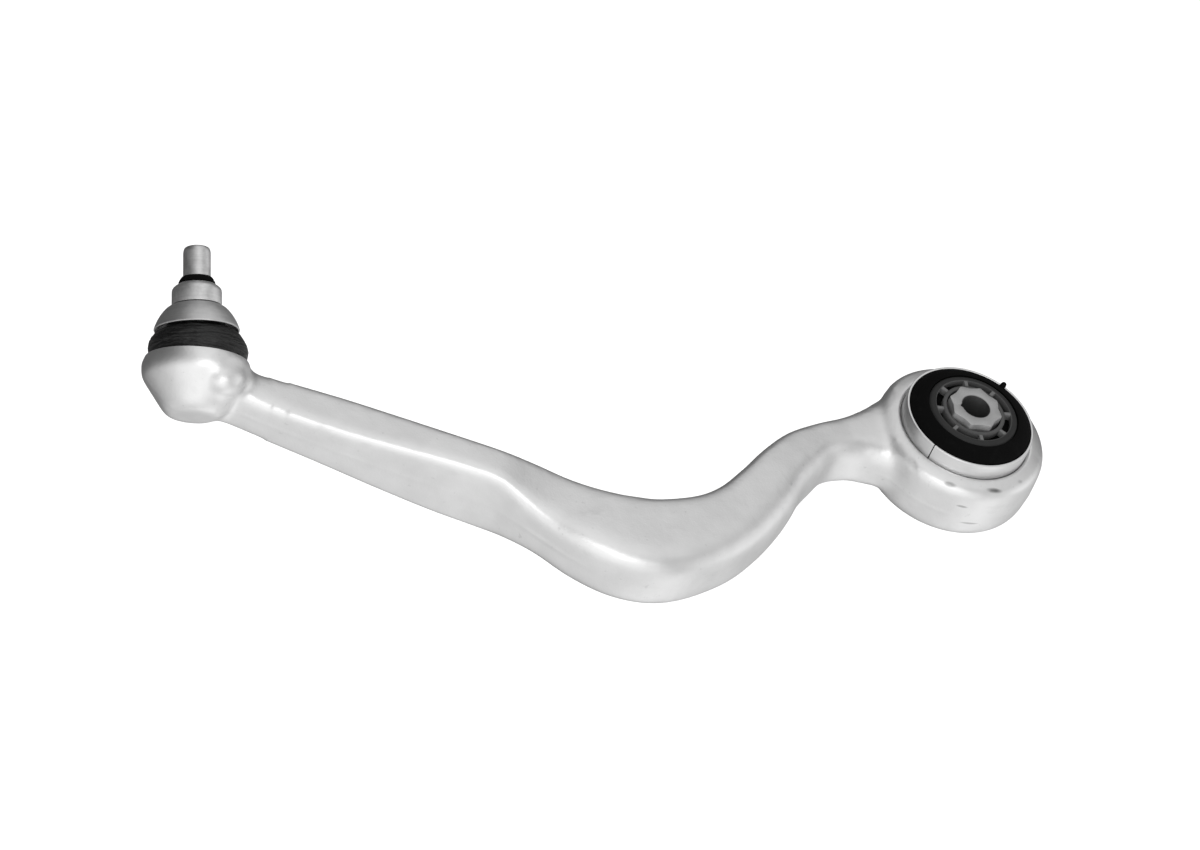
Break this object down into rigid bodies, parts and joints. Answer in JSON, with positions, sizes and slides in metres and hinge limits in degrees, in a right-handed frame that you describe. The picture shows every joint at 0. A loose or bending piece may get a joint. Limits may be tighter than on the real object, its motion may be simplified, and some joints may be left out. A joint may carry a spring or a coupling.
{
  "type": "suspension control arm",
  "caption": "Bent forged aluminium control arm with a sealed ball joint stud at one end and a large rubber bush in the eye at the other.",
  "frame": {"origin": "on the bush's bolt axis, in the plane where the forging's two halves meet", "axes": "+Z along the bush's bolt towards the side where the bush stands proud; the ball joint's centre lies at -X, 424 mm away, at Y 0; +Y is the side that the ball stud points to"},
  "size_m": [0.4978, 0.1776, 0.0709],
  "materials": {
    "forged_aluminium": "shot-blasted forged aluminium, satin",
    "sleeve_aluminium": "smooth rolled aluminium",
    "core_aluminium": "saw-cut extruded aluminium",
    "stud_steel": "turned steel",
    "zinc_steel": "pressed and plated steel, satin",
    "steel": "plain steel",
    "rubber": "matt black rubber",
    "dark_plastic": "dark grey moulded plastic",
    "pale_plastic": "pale bearing plastic",
    "grease": "translucent grease"
  },
  "bodies": {
    "arm": {"arm_forging": "forged_aluminium", "bearing_shell": "pale_plastic", "closing_ring": "steel", "lower_boot_ring": "steel", "dust_boot": "rubber", "bush_sleeve": "sleeve_aluminium", "window_cage": "steel", "channel_half_front": "dark_plastic", "channel_half_rear": "dark_plastic", "chamber_stop_front": "dark_plastic", "chamber_stop_rear": "dark_plastic", "bush_rubber": "rubber"},
    "ball_swing": {"grease_fill": "grease"},
    "boot_collar": {"slide_ring": "pale_plastic", "upper_boot_ring": "steel"},
    "stud": {"ball_stud": "stud_steel", "dust_shield": "zinc_steel", "stud_seal_ring": "rubber"},
    "bush_core": {"bush_core": "core_aluminium", "stop_ring_upper": "dark_plastic", "stop_ring_lower": "dark_plastic"}
  },
  "joints": [
    {"name": "stud_swing_lengthwise", "type": "hinge", "parent": "arm", "child": "ball_swing", "pos_m": [-0.424, 0, 0.006], "axis": [0, 0.4695, -0.8829], "range_deg": [-14, 22], "deforming": ["dust_boot"]},
    {"name": "stud_swing_crosswise", "type": "hinge", "parent": "ball_swing", "child": "boot_collar", "pos_m": [-0.424, 0, 0.006], "axis": [0.9998, -0.0154, -0.0082], "range_deg": [-18, 18], "deforming": ["dust_boot"]},
    {"name": "stud_spin", "type": "hinge", "parent": "boot_collar", "child": "stud", "pos_m": [-0.424, 0, 0.006], "axis": [0.0175, 0.8828, 0.4694], "continuous": true},
    {"name": "bush_twist", "type": "hinge", "parent": "arm", "child": "bush_core", "pos_m": [0, 0, 0], "axis": [0, 0, 1], "range_deg": [-20, 20], "stiffness_Nm_per_rad": 60, "deforming": ["bush_rubber"]}
  ]
}
